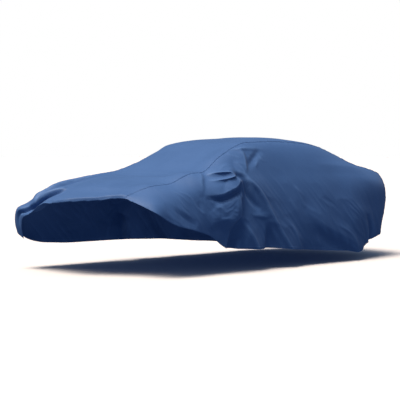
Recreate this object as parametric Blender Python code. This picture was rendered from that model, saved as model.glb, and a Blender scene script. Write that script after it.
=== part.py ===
"""A fitted cover for a four-door car, draped as over the car: front hem pulled back over the bonnet.

Metres, +Z up. X runs along the car with the front at -X, and the car's left side is at -Y.
The cover is one thin cloth surface in three sewn panels: the top panel (bonnet, windscreen, roof,
rear window, boot and rear face) and one side panel on each side. Each panel is a closed sheet.
Heights in the tables are above the ground that the car stands on. The model's origin is on the
underside of the top panel, where the middle of the roof carries it.
"""

import bpy
import numpy as np

# Driving dimensions.
SHEET = 0.003  # thickness of each panel
SEAM_GAP = 0.0003  # between two panels, edge to edge
ORIGIN_X = 0.45  # the middle of the roof, ahead of the middle of the wheelbase by so much
ORIGIN_Z = 1.417  # the underside of the cloth there, above the ground

# Divisions of the surface.
COLUMNS = 76  # cross-sections from the front hem to the rear corners
SIDE_ROWS = 18  # strips from a seam down to the side hem
TOP_STRIPS = 14  # strips across the top panel
SHOULDER = 0.45  # how far from the seam to the centre line the shoulder stands
LEFT_SEAM, CENTRE, RIGHT_SEAM = 3, 5, 7  # places of these lines among the lengthwise lines
BONNET_SECTION = 3  # the cross-section from which runs forward are measured on the cloth
REAR_ROUNDING = 2.6  # how late the rear face turns its corners: 2 is a parabola

# Columns stand closest at the front hem and the door mirrors: share of columns, share of length.
SPACING = ((0.00, 0.000), (0.20, 0.105), (0.62, 0.510), (1.00, 1.000))

# One row for each cross-section: the centre line, then the left seam, belt, side and hem.
SECTION_COLUMNS = (
    "top_x top_z crown seam_x seam_y seam_z belt_y belt_z side_y side_z hem_x hem_y hem_z"
)
SECTIONS = (
    (-2.15, 0.762, 0.15, -1.79, 0.640, 0.800, 0.665, 0.792, 0.700, 0.784, -1.77, 0.760, 0.776),
    (-1.93, 0.845, 0.80, -1.70, 0.650, 0.862, 0.790, 0.815, 0.880, 0.760, -1.70, 0.930, 0.698),
    (-1.72, 0.920, 0.80, -1.50, 0.700, 0.930, 0.850, 0.845, 0.950, 0.720, -1.44, 0.990, 0.550),
    (-1.42, 0.977, 0.80, -1.25, 0.720, 0.953, 0.890, 0.860, 0.970, 0.680, -1.16, 1.000, 0.477),
    (-1.12, 1.017, 0.80, -1.02, 0.735, 1.040, 0.905, 0.900, 0.975, 0.660, -0.92, 0.990, 0.405),
    (-0.86, 1.055, 0.80, -0.78, 0.730, 1.068, 0.920, 0.930, 0.970, 0.620, -0.70, 0.972, 0.276),
    (-0.62, 1.158, 0.80, -0.52, 0.675, 1.203, 0.900, 0.975, 0.960, 0.600, -0.50, 0.962, 0.248),
    (-0.34, 1.275, 0.80, -0.25, 0.630, 1.312, 0.865, 0.985, 0.950, 0.600, -0.24, 0.960, 0.236),
    (-0.12, 1.360, 0.80, -0.04, 0.593, 1.366, 0.850, 0.990, 0.945, 0.620, -0.03, 0.955, 0.228),
    (0.20, 1.395, 0.80, 0.20, 0.573, 1.377, 0.840, 0.995, 0.940, 0.640, 0.22, 0.950, 0.218),
    (0.60, 1.428, 0.80, 0.55, 0.560, 1.380, 0.840, 1.000, 0.940, 0.660, 0.62, 0.943, 0.178),
    (1.00, 1.410, 0.80, 0.93, 0.555, 1.360, 0.840, 1.000, 0.940, 0.660, 1.00, 0.940, 0.148),
    (1.32, 1.364, 0.80, 1.22, 0.535, 1.326, 0.830, 0.990, 0.940, 0.650, 1.32, 0.930, 0.122),
    (1.64, 1.266, 0.80, 1.55, 0.540, 1.224, 0.830, 0.975, 0.930, 0.620, 1.57, 0.908, 0.108),
    (1.98, 1.138, 0.80, 1.88, 0.580, 1.098, 0.820, 0.940, 0.880, 0.600, 1.85, 0.845, 0.210),
    (2.22, 1.053, 0.80, 2.12, 0.620, 1.036, 0.780, 0.890, 0.817, 0.580, 2.115, 0.780, 0.275),
    (2.40, 0.990, 0.80, 2.28, 0.620, 0.990, 0.715, 0.860, 0.725, 0.570, 2.275, 0.635, 0.290),
)

# The right side mirrors the left, but for these first sections, where it hangs round the corner.
RIGHT_COLUMNS = (
    "section crown seam_x seam_y seam_z belt_x belt_y belt_z side_x side_y side_z"
    " hem_x hem_y hem_z"
)
RIGHT_SECTIONS = (
    (0, 0.80, -2.06, 0.600, 0.625, -2.02, 0.780, 0.545, -1.99, 0.825, 0.430, -1.952, 0.850, 0.334),
    (1, 0.80, -1.96, 0.680, 0.676, -2.025, 0.860, 0.650, -2.00, 0.935, 0.500, -1.972, 0.930, 0.390),
    (2, 0.80, -1.822, 0.690, 0.869, -1.86, 0.860, 0.680, -1.84, 0.960, 0.550, -1.70, 0.985, 0.290),
    (3, 0.80, -1.38, 0.720, 0.960, -1.38, 0.900, 0.840, -1.36, 0.980, 0.600, -1.30, 0.985, 0.250),
    (4, 0.80, -1.05, 0.730, 1.008, -1.04, 0.910, 0.900, -1.00, 0.980, 0.620, -0.96, 0.980, 0.245),
    (5, 0.80, -0.76, 0.720, 1.050, -0.76, 0.920, 0.925, -0.72, 0.970, 0.620, -0.70, 0.972, 0.245),
    (6, 0.80, -0.50, 0.640, 1.146, -0.49, 0.900, 0.970, -0.49, 0.960, 0.600, -0.49, 0.962, 0.245),
    (7, 0.80, -0.22, 0.610, 1.264, -0.22, 0.865, 0.980, -0.22, 0.950, 0.600, -0.22, 0.960, 0.236),
    (8, 0.80, -0.06, 0.598, 1.334, -0.05, 0.850, 0.990, -0.04, 0.945, 0.620, -0.03, 0.955, 0.228),
)

# The centre line of the rear face, from the boot's edge down to the rear hem.
REAR_COLUMNS = "x z"
REAR = ((2.400, 0.992), (2.452, 0.840), (2.458, 0.600), (2.420, 0.290))

# A fold is a ridge (+) or trough (-) along a path on the cloth, with a flat slope on each side.
# Its columns are how wide it is to the left of the path, how wide to the right, and the path: for
# each point its run (the place along the car), its girth from the centre line (negative to the
# left) and the fold's rise there.
FOLDS = {
    # Over the left door mirror: the ridge on its long edge, and the groove under it.
    "mirror": (0.200, 0.045, (
        (-0.97, -1.040, 0.000), (-0.90, -1.058, 0.020), (-0.80, -1.071, 0.040), (-0.68, -1.069, 0.045),
        (-0.54, -1.082, 0.045), (-0.45, -1.050, 0.040), (-0.41, -1.020, 0.000),
    )),
    "groove": (0.045, 0.045, (
        (-0.95, -1.060, 0.000), (-0.83, -1.100, -0.015), (-0.74, -1.135, -0.028), (-0.56, -1.140, -0.030),
        (-0.42, -1.145, -0.020), (-0.36, -1.150, 0.000),
    )),
    "hanging_panel": (0.160, 0.340, (
        (-0.66, -0.980, 0.000), (-0.58, -1.100, 0.045), (-0.56, -1.240, 0.055), (-0.58, -1.370, 0.045),
        (-0.62, -1.500, 0.000),
    )),
    "panel_lower_edge": (0.160, 0.070, (
        (-0.95, -1.460, 0.000), (-0.78, -1.395, 0.022), (-0.62, -1.384, 0.025), (-0.50, -1.400, 0.000),
    )),
    # Tension from the mirror down to the sill, with a deep facet on its front side.
    "band": (0.150, 0.050, (
        (-0.42, -1.010, 0.000), (-0.36, -1.100, -0.035), (-0.34, -1.180, -0.050), (-0.34, -1.260, -0.040),
        (-0.32, -1.330, -0.020), (-0.28, -1.400, 0.000),
    )),
    "long_ridge": (0.220, 0.120, (
        (-0.46, -0.945, 0.000), (-0.37, -1.005, 0.035), (-0.29, -1.066, 0.050), (-0.14, -1.203, 0.050),
        (-0.03, -1.371, 0.035), (0.06, -1.519, 0.032), (0.15, -1.651, 0.045), (0.34, -1.870, 0.060),
    )),
    "front_pocket": (0.220, 0.100, (
        (-0.49, -1.410, 0.000), (-0.54, -1.543, -0.060), (-0.60, -1.655, -0.085), (-0.62, -1.780, -0.075),
    )),
    "pocket_ridge": (0.120, 0.140, (
        (-0.46, -1.400, 0.000), (-0.35, -1.573, 0.035), (-0.25, -1.729, 0.050), (-0.20, -1.830, 0.055),
    )),
    "pocket_foot": (0.060, 0.060, (
        (-0.45, -1.640, 0.000), (-0.46, -1.700, 0.025), (-0.46, -1.790, 0.040),
    )),
    "middle_pocket": (0.180, 0.080, (
        (0.02, -1.540, 0.000), (0.00, -1.660, -0.035), (0.00, -1.870, -0.055),
    )),
    # Rear quarter.
    "rear_ridge": (0.180, 0.090, (
        (0.60, -1.420, 0.000), (0.91, -1.616, 0.022), (1.20, -1.734, 0.032), (1.52, -1.830, 0.040),
    )),
    "rear_trough": (0.090, 0.090, (
        (0.70, -1.660, 0.000), (1.03, -1.764, -0.030), (1.23, -1.810, -0.030), (1.52, -1.860, -0.020),
    )),
    "rear_pleat": (0.060, 0.060, (
        (1.72, -1.330, 0.000), (1.75, -1.401, -0.020), (1.83, -1.497, -0.030), (1.86, -1.620, -0.030),
    )),
    "boot_shoulder": (0.080, 0.100, (
        (0.90, -0.880, 0.000), (1.41, -0.820, 0.010), (1.98, -0.660, 0.006), (2.10, -0.620, 0.000),
    )),
    # At the roof's front corner.
    "pillar_eave": (0.060, 0.035, (
        (-0.30, -0.625, 0.000), (-0.19, -0.690, 0.015), (-0.04, -0.712, 0.012), (0.22, -0.710, 0.000),
    )),
    # Wing and bonnet.
    "wing_crease": (0.050, 0.080, (
        (-1.53, -1.010, 0.000), (-1.37, -1.139, -0.012), (-1.22, -1.245, -0.012), (-1.12, -1.300, 0.000),
    )),
    "windscreen_foot": (0.120, 0.120, (
        (-0.98, 0.600, 0.000), (-1.00, 0.000, -0.018), (-1.02, -0.620, 0.000),
    )),
    "bonnet_crest": (0.070, 0.250, (
        (-1.95, 0.640, 0.000), (-1.87, 0.590, 0.008), (-1.75, 0.500, 0.012), (-1.52, 0.500, 0.016),
        (-1.29, 0.450, 0.012), (-1.00, 0.400, 0.000),
    )),
    "bonnet_far_ridge": (0.100, 0.100, (
        (-1.75, 0.680, 0.000), (-1.40, 0.680, 0.012), (-0.90, 0.680, 0.000),
    )),
    # The pleat across the pulled-back front hem, and the valley under it.
    "pleat_lip": (0.045, 0.150, (
        (-1.85, 0.270, 0.000), (-1.94, 0.325, 0.018), (-2.03, 0.440, 0.034), (-2.04, 0.560, 0.032),
        (-2.04, 0.700, 0.024), (-2.07, 0.850, 0.016), (-2.08, 0.980, 0.000),
    )),
    "pleat_valley": (0.045, 0.035, (
        (-1.89, 0.262, 0.000), (-1.96, 0.360, -0.030), (-2.03, 0.470, -0.050), (-2.06, 0.600, -0.055),
        (-2.10, 0.720, -0.050), (-2.13, 0.820, -0.035), (-2.08, 1.040, 0.000),
    )),
}
# The hidden right side has plain folds at the same places, this much as high.
RIGHT_COPIES = (
    "mirror", "groove", "hanging_panel", "long_ridge",
    "pocket_ridge", "front_pocket", "rear_ridge", "rear_pleat",
)
RIGHT_SHARE = 0.8
LEAST_WIDTH = 0.07  # of a fold's slope, that this grid can show
PATH_STEPS = 4  # legs between two points of a path
CREST_ROUNDING = 0.05  # of a fold's top, as a share of its width
FOOT_ROUNDING = 0.12  # where its slopes run out
REACH = 1.3  # how far from its path a fold is looked for, in widths
NO_DISTANCE = 1e-9  # metres; a point on the path has no side

# Finish, as in the photo: a woven blue cloth with a slight sheen.
CLOTH_BLUE = (0.060, 0.135, 0.310, 1.0)
CLOTH_ROUGHNESS = 0.62


def clear_scene():
    for thing in list(bpy.data.objects):
        bpy.data.objects.remove(thing, do_unlink=True)


def named(columns, rows):
    """The table as a dictionary of one array for each named column."""
    return dict(zip(columns.split(), np.array(rows, float).T))


def spline(knots, values, at):
    """A smooth curve through the values at the knots, read at the given places."""
    steps = np.diff(knots)
    slopes = np.diff(values, axis=0) / steps[:, None]
    before, after = steps[:-1, None], steps[1:, None]
    tangents = np.empty_like(values)
    tangents[1:-1] = (slopes[:-1] * after + slopes[1:] * before) / (before + after)
    tangents[0] = 2 * slopes[0] - tangents[1]
    tangents[-1] = 2 * slopes[-1] - tangents[-2]
    span = np.clip(np.searchsorted(knots, at, side="right") - 1, 0, len(steps) - 1)
    step = steps[span][:, None]
    t = (at - knots[span])[:, None] / step
    return (
        (2 * t**3 - 3 * t**2 + 1) * values[span]
        + (t**3 - 2 * t**2 + t) * step * tangents[span]
        + (3 * t**2 - 2 * t**3) * values[span + 1]
        + (t**3 - t**2) * step * tangents[span + 1]
    )


def arc_lengths(points):
    steps = np.linalg.norm(np.diff(points, axis=0), axis=1)
    return np.concatenate([[0], np.cumsum(steps)])


def control_lines():
    """The lengthwise lines that shape the cloth, from the left hem over the top to the right hem.

    On each side of the centre line these are the shoulder, seam, belt, side and hem.
    """
    left = named(SECTION_COLUMNS, SECTIONS)
    right = named(RIGHT_COLUMNS, RIGHT_SECTIONS)
    own_sections = right["section"].astype(int)
    downward = ("seam", "belt", "side", "hem")
    left_lines = []
    right_lines = []
    for name in downward:
        share = (left["seam_z"] - left[name + "_z"]) / (left["seam_z"] - left["hem_z"])
        x = left["seam_x"] + share * (left["hem_x"] - left["seam_x"])
        left_lines.append(np.stack([x, -left[name + "_y"], left[name + "_z"]], axis=1))
        mirrored = np.stack([x, left[name + "_y"], left[name + "_z"]], axis=1)
        mirrored[own_sections] = np.stack([right[name + "_" + axis] for axis in "xyz"], axis=1)
        right_lines.append(mirrored)
    centre = np.stack([left["top_x"], 0 * left["top_x"], left["top_z"]], axis=1)
    crowns = [left["crown"], left["crown"].copy()]
    crowns[1][own_sections] = right["crown"]
    shoulders = []
    for seam, crown in zip((left_lines[0], right_lines[0]), crowns):
        share = np.stack([0 * crown + SHOULDER, 0 * crown + SHOULDER, crown], axis=1)
        shoulders.append(seam + (centre - seam) * share)
    return left_lines[::-1] + [shoulders[0], centre, shoulders[1]] + right_lines


def smooth_body():
    """Points, runs and girths of the cross-sections, column by column, left hem to right hem.

    A run is the place along the car, but ahead of the bonnet's section it is measured on the cloth.
    """
    lines = control_lines()
    left_seam_places = arc_lengths(lines[LEFT_SEAM])
    spacing = np.array(SPACING)
    shares = spline(spacing[:, 0], spacing[:, 1:], np.linspace(0, 1, COLUMNS + 1))[:, 0]
    places = shares * left_seam_places[-1]
    lines = [spline(left_seam_places, line, places) for line in lines]
    points = []
    girths = []
    for column in range(COLUMNS + 1):
        control = np.array([line[column] for line in lines])
        length = arc_lengths(control)
        at = np.concatenate(
            [
                np.linspace(length[0], length[LEFT_SEAM], SIDE_ROWS + 1),
                np.linspace(length[LEFT_SEAM], length[CENTRE], TOP_STRIPS // 2 + 1)[1:],
                np.linspace(length[CENTRE], length[RIGHT_SEAM], TOP_STRIPS // 2 + 1)[1:],
                np.linspace(length[RIGHT_SEAM], length[-1], SIDE_ROWS + 1)[1:],
            ]
        )
        points.append(spline(length, control, at))
        girths.append(at - length[CENTRE])
    points = np.array(points)
    runs = points[:, :, 0].copy()
    bonnet = np.searchsorted(places, left_seam_places[BONNET_SECTION])
    steps = np.linalg.norm(np.diff(points[: bonnet + 1], axis=0), axis=2)
    runs[:bonnet] = runs[bonnet] - np.cumsum(steps[::-1], axis=0)[::-1]
    return points, runs, np.array(girths)


def smooth_rear(left_edge, right_edge):
    """Points of the rear face, row by row, strung between the two rear corners and crowned."""
    centre = named(REAR_COLUMNS, REAR)
    line = np.stack([centre["x"], 0 * centre["x"], centre["z"]], axis=1)
    line = spline(np.linspace(0, 1, len(line)), line, np.linspace(0, 1, SIDE_ROWS + 1))
    across = np.linspace(-1, 1, TOP_STRIPS + 1)[:, None]
    crown = 1 - np.abs(across) ** REAR_ROUNDING
    rows = []
    for row in range(1, SIDE_ROWS + 1):
        middle = (left_edge[row] + right_edge[row]) / 2
        chord = middle + (right_edge[row] - left_edge[row]) / 2 * across
        rows.append(chord + (line[row] - middle) * crown)
    return np.array(rows)


def smooth_cover():
    """The unfolded surface: points, their place along the car, their girth, and the panels' grids."""
    body, body_run, girth = smooth_body()
    index = np.arange(body.shape[0] * body.shape[1]).reshape(body.shape[:2])
    seam_left, seam_right = SIDE_ROWS, SIDE_ROWS + TOP_STRIPS
    left_corner = index[-1, : seam_left + 1][::-1]
    right_corner = index[-1, seam_right:]
    points = body.reshape(-1, 3)
    rear = smooth_rear(points[left_corner], points[right_corner])[:, 1:-1]
    rear_index = len(points) + np.arange(rear.shape[0] * rear.shape[1]).reshape(rear.shape[:2])
    rear_index = np.concatenate(
        [left_corner[1:, None], rear_index, right_corner[1:, None]], axis=1
    )
    boot_x, boot_z = REAR[0]
    run = np.concatenate([body_run.ravel(), (boot_x + boot_z - rear[:, :, 2]).ravel()])
    girth = np.concatenate([girth.ravel(), rear[:, :, 1].ravel()])
    panels = {
        "top_panel": np.concatenate([index[:, seam_left : seam_right + 1], rear_index]),
        "left_panel": index[:, seam_left::-1],
        "right_panel": index[:, seam_right:],
    }
    return np.concatenate([points, rear.reshape(-1, 3)]), run, girth, panels


def outward_normals(points, panels):
    total = np.zeros_like(points)
    for name, grid in panels.items():
        a, b, c, d = grid[:-1, :-1], grid[1:, :-1], grid[1:, 1:], grid[:-1, 1:]
        face = np.cross(points[c] - points[a], points[d] - points[b])
        if name == "left_panel":
            face = -face
        for corner in (a, b, c, d):
            np.add.at(total, corner, face)
    return total / np.linalg.norm(total, axis=1)[:, None]


def fold_rise(run, girth, fold):
    """How far one fold lifts each point of the cloth off the smooth surface."""
    left, right, points = fold
    points = np.array(points)
    knots = np.arange(len(points))
    path = spline(knots, points, np.linspace(0, knots[-1], PATH_STEPS * knots[-1] + 1))
    reach = REACH * max(left, right, LEAST_WIDTH)
    near = (run > path[:, 0].min() - reach) & (run < path[:, 0].max() + reach)
    near &= (girth > path[:, 1].min() - reach) & (girth < path[:, 1].max() + reach)
    here = np.stack([run[near], girth[near]], axis=1)
    nearest = np.full(len(here), np.inf)
    height = np.zeros(len(here))
    side = np.zeros(len(here))
    for start, end in zip(path[:-1], path[1:]):
        leg = end[:2] - start[:2]
        length = np.hypot(*leg)
        offset = here - start[:2]
        share = np.clip(offset @ leg / length**2, 0, 1)
        distance = np.hypot(*(offset - share[:, None] * leg).T)
        to_left = (offset[:, 1] * leg[0] - offset[:, 0] * leg[1]) / length
        closer = distance < nearest
        nearest[closer] = distance[closer]
        height[closer] = (start[2] + share * (end[2] - start[2]))[closer]
        side[closer] = (to_left / np.maximum(distance, NO_DISTANCE))[closer]
    left, right = max(left, LEAST_WIDTH), max(right, LEAST_WIDTH)
    width = right + (left - right) * (1 + np.clip(side, -1, 1)) / 2
    level = 1 + CREST_ROUNDING - np.hypot(nearest / width, CREST_ROUNDING)
    rise = np.zeros_like(run)
    rise[near] = height * (level + np.hypot(level, FOOT_ROUNDING)) / 2
    return rise


def mirrored(fold):
    """The same fold on the right side of the cover."""
    left, right, points = fold
    points = [(run, -girth, rise * RIGHT_SHARE) for run, girth, rise in points]
    return right, left, points


def folded_cover():
    """The draped surface: points in the model's frame, outward normals and the panels' grids."""
    points, run, girth, panels = smooth_cover()
    folds = list(FOLDS.values()) + [mirrored(FOLDS[name]) for name in RIGHT_COPIES]
    rise = sum(fold_rise(run, girth, fold) for fold in folds)
    points = points + outward_normals(points, panels) * rise[:, None]
    normals = outward_normals(points, panels)
    return points - (ORIGIN_X, 0, ORIGIN_Z), normals, panels


def edge_loop(grid):
    """The vertex places round a grid's edge, in order."""
    rows, strips = grid.shape
    return (
        [(0, s) for s in range(strips - 1)]
        + [(r, strips - 1) for r in range(rows - 1)]
        + [(rows - 1, s) for s in range(strips - 1, 0, -1)]
        + [(r, 0) for r in range(rows - 1, 0, -1)]
    )


def drawn_in(sheet):
    """The sheet with its edge moved in by half a seam gap, so that two panels never touch."""
    moved = sheet.copy()
    for edge, inner in (((0,), 1), ((-1,), -2)):
        step = sheet[inner] - sheet[edge[0]]
        moved[edge[0]] += step / np.linalg.norm(step, axis=-1)[:, None] * SEAM_GAP / 2
        step = sheet[:, inner] - sheet[:, edge[0]]
        moved[:, edge[0]] += step / np.linalg.norm(step, axis=-1)[:, None] * SEAM_GAP / 2
    return moved


def cloth_material(name):
    material = bpy.data.materials.new(name + "_cloth")
    material.use_nodes = True
    shader = material.node_tree.nodes["Principled BSDF"]
    shader.inputs["Base Color"].default_value = CLOTH_BLUE
    shader.inputs["Roughness"].default_value = CLOTH_ROUGHNESS
    shader.inputs["Metallic"].default_value = 0.0
    return material


def surface_triangles(place, sheet):
    """Two triangles for each square of a sheet, split along its shorter diagonal."""
    a, b, c, d = place[:-1, :-1], place[1:, :-1], place[1:, 1:], place[:-1, 1:]
    flat = sheet.reshape(-1, 3)
    first = np.linalg.norm(flat[a] - flat[c], axis=-1) <= np.linalg.norm(flat[b] - flat[d], axis=-1)
    third = np.where(first, c, d)
    fourth = np.where(first, a, b)
    halves = (np.stack([a, b, third], axis=-1), np.stack([fourth, c, d], axis=-1))
    return np.concatenate([half.reshape(-1, 3) for half in halves])


def rim_triangles(grid, place, count):
    """Triangles round a sheet's edge. Both panels at a seam split each step the same way."""
    faces = []
    loop = edge_loop(grid)
    for here, there in zip(loop, loop[1:] + loop[:1]):
        a, b = int(place[here]), int(place[there])
        if grid[here] < grid[there]:
            faces += [(a, b, b + count), (a, b + count, a + count)]
        else:
            faces += [(a, b, a + count), (b, b + count, a + count)]
    return faces


def make_panel(name, grid, points, normals):
    """One closed sheet: its outer face on the draped surface, its inner face a thickness below."""
    outer = drawn_in(points[grid])
    inner = outer - normals[grid] * SHEET
    count = grid.size
    place = np.arange(count).reshape(grid.shape)
    outer_faces = surface_triangles(place, outer)
    faces = outer_faces.tolist() + (outer_faces[:, ::-1] + count).tolist()
    faces += rim_triangles(grid, place, count)
    if name == "left_panel":
        faces = [face[::-1] for face in faces]
    mesh = bpy.data.meshes.new(name)
    vertices = np.concatenate([outer.reshape(-1, 3), inner.reshape(-1, 3)])
    mesh.from_pydata(vertices.tolist(), [], faces)
    mesh.materials.append(cloth_material(name))
    mesh.shade_smooth()
    panel = bpy.data.objects.new(name, mesh)
    bpy.context.scene.collection.objects.link(panel)


def main():
    clear_scene()
    points, normals, panels = folded_cover()
    for name, grid in panels.items():
        make_panel(name, grid, points, normals)


main()
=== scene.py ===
"""The looks of a fitted car cover, draped in the shape it has when fitted on a car, its front hem
pulled back.

Metres, in the model's own frame: X runs along the cover with its front at -X, its left side is at
-Y, +Z is up, and the origin is under the cloth at the middle of the roof. The cloth is drawn again
here on a finer grid than the solids, with more folds, and gets its wrinkles, puckers, seams, hems,
stitches and weave.
"""

import math

import bpy
import numpy as np
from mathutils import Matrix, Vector


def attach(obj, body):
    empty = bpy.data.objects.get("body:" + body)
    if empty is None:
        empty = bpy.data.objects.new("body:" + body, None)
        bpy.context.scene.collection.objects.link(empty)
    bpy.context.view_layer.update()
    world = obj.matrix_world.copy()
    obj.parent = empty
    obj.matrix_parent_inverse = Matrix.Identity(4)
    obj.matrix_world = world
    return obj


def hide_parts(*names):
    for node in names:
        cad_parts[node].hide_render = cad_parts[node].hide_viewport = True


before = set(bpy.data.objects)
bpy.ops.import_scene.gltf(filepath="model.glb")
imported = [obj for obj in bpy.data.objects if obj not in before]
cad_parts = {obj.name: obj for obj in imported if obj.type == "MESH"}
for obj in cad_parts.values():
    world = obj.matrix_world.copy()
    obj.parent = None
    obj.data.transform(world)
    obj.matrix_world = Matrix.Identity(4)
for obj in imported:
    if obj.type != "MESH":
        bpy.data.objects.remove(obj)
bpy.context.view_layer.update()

# ---------------------------------------------------------------- camera, floor and light

PHOTO_SIZE = 400  # pixels, each way
CAMERA_PLACE = (-11.1908, -11.0260, 0.0314)
CAMERA_YAW = 46.5514  # degrees, anticlockwise from +X
CAMERA_PITCH = -2.9837  # degrees, below the horizon
FOCAL_PIXELS = 1358.98
PHOTO_CENTRE = (188.92, 206.52)  # where the lens points, in the photo's pixels
SENSOR = 36.0  # millimetres
SIGHT = 200  # how far the camera sees

GROUND = -1.417  # the floor, a little below the lowest hem
FLOOR_REACH = 60.0
FLOOR_SHADE, FLOOR_ROUGHNESS = (0.95, 0.87, 0.82, 1.0), 0.9
WALL_SHADE = (1.0, 1.0, 1.0, 1.0)
LAMP_WAY = (-0.42, 0.00, 0.91)  # towards the lamp
LAMP_SHARPNESS = 80.0  # how fast the lamp fades round its direction
LAMP_STRENGTH = 26.2
LAMP_COLOUR = (1.05, 0.985, 0.90, 1.0)
DIM_STRENGTH = 0.165  # the light from everywhere else
DIM_COLOUR = (0.62, 0.91, 1.45, 1.0)


def make_camera():
    yaw = math.radians(CAMERA_YAW)
    pitch = math.radians(CAMERA_PITCH)
    ahead = Vector(
        (math.cos(pitch) * math.cos(yaw), math.cos(pitch) * math.sin(yaw), math.sin(pitch))
    )
    lens = bpy.data.cameras.new("camera")
    lens.sensor_width = SENSOR
    lens.lens = SENSOR * FOCAL_PIXELS / PHOTO_SIZE
    lens.shift_x = (PHOTO_SIZE / 2 - PHOTO_CENTRE[0]) / PHOTO_SIZE
    lens.shift_y = (PHOTO_CENTRE[1] - PHOTO_SIZE / 2) / PHOTO_SIZE
    lens.clip_end = SIGHT
    camera = bpy.data.objects.new("camera", lens)
    camera.location = CAMERA_PLACE
    camera.rotation_euler = ahead.to_track_quat("-Z", "Y").to_euler()
    bpy.context.scene.collection.objects.link(camera)
    bpy.context.scene.camera = camera


def make_world():
    """A large soft lamp high in front and dim light all round, on a plain white wall.

    The lamp's strength falls off smoothly round its direction.
    """
    world = bpy.data.worlds.new("studio")
    world.use_nodes = True
    nodes, links = world.node_tree.nodes, world.node_tree.links
    around = nodes.new("ShaderNodeTexCoord")
    facing = nodes.new("ShaderNodeVectorMath")
    facing.operation = "DOT_PRODUCT"
    facing.inputs[1].default_value = Vector(LAMP_WAY).normalized()
    links.new(around.outputs["Generated"], facing.inputs[0])
    nearness = nodes.new("ShaderNodeMath")
    nearness.operation = "MULTIPLY_ADD"
    nearness.inputs[1].default_value = 0.5
    nearness.inputs[2].default_value = 0.5
    links.new(facing.outputs["Value"], nearness.inputs[0])
    spot = nodes.new("ShaderNodeMath")
    spot.operation = "POWER"
    spot.inputs[1].default_value = LAMP_SHARPNESS
    links.new(nearness.outputs["Value"], spot.inputs[0])
    strength = nodes.new("ShaderNodeMath")
    strength.operation = "MULTIPLY"
    strength.inputs[1].default_value = LAMP_STRENGTH
    links.new(spot.outputs["Value"], strength.inputs[0])
    lamp = nodes["Background"]
    lamp.inputs["Color"].default_value = LAMP_COLOUR
    links.new(strength.outputs["Value"], lamp.inputs["Strength"])
    dim = nodes.new("ShaderNodeBackground")
    dim.inputs["Color"].default_value = DIM_COLOUR
    dim.inputs["Strength"].default_value = DIM_STRENGTH
    both = nodes.new("ShaderNodeAddShader")
    links.new(lamp.outputs["Background"], both.inputs[0])
    links.new(dim.outputs["Background"], both.inputs[1])
    wall = nodes.new("ShaderNodeBackground")
    wall.inputs["Color"].default_value = WALL_SHADE
    wall.inputs["Strength"].default_value = 1.0
    ray = nodes.new("ShaderNodeLightPath")
    mix = nodes.new("ShaderNodeMixShader")
    links.new(ray.outputs["Is Camera Ray"], mix.inputs["Fac"])
    links.new(both.outputs["Shader"], mix.inputs[1])
    links.new(wall.outputs["Background"], mix.inputs[2])
    links.new(mix.outputs["Shader"], nodes["World Output"].inputs["Surface"])
    bpy.context.scene.world = world


def make_stage():
    mesh = bpy.data.meshes.new("floor")
    corners = [(-FLOOR_REACH, -FLOOR_REACH), (FLOOR_REACH, -FLOOR_REACH)]
    corners += [(FLOOR_REACH, FLOOR_REACH), (-FLOOR_REACH, FLOOR_REACH)]
    mesh.from_pydata([(x, y, GROUND) for x, y in corners], [], [(0, 1, 2, 3)])
    paint = bpy.data.materials.new("floor_paint")
    paint.use_nodes = True
    shader = paint.node_tree.nodes["Principled BSDF"]
    shader.inputs["Base Color"].default_value = FLOOR_SHADE
    shader.inputs["Roughness"].default_value = FLOOR_ROUGHNESS
    shader.inputs["Specular IOR Level"].default_value = 0.0
    mesh.materials.append(paint)
    floor = bpy.data.objects.new("floor", mesh)
    bpy.context.scene.collection.objects.link(floor)
    floor.visible_diffuse = False
    floor.visible_glossy = False
    make_world()
    bpy.context.scene.view_settings.view_transform = "Standard"


# ---------------------------------------------------------------- the draped surface

ORIGIN_X = 0.45  # the middle of the roof, in the tables' own places
ORIGIN_Z = 1.417  # the underside of the cloth there, above the floor
SHEET = 0.0022  # thickness of the cloth

COLUMNS = 370  # cross-sections from the front hem to the rear corners
SIDE_EVEN = 118  # even strips down a side, between the rows beside its seam and its hem
TOP_EVEN = 88  # even strips across the top panel, between the rows beside its seams
SEAM_ROWS = (0.0, 0.0015, 0.004, 0.0085, 0.011, 0.015)  # distances from a seam that get a row
HEM_ROWS = (0.0, 0.002, 0.012, 0.0215, 0.0245, 0.028)  # distances from a side's hem
SIDE_ROWS = SIDE_EVEN + len(SEAM_ROWS) + len(HEM_ROWS) - 2
TOP_STRIPS = TOP_EVEN + 2 * len(SEAM_ROWS) - 2
SHOULDER = 0.45  # how far from the seam to the centre line the shoulder stands
LEFT_SEAM, CENTRE, RIGHT_SEAM = 3, 5, 7  # places of these lines among the lengthwise lines
BONNET_SECTION = 3  # the cross-section from which runs forward are measured on the cloth
REAR_ROUNDING = 2.6  # how late the rear face turns its corners: 2 is a parabola

# Columns stand closest at the front hem and the door mirrors: share of columns, share of length.
SPACING = ((0.00, 0.000), (0.20, 0.105), (0.62, 0.510), (1.00, 1.000))

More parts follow.
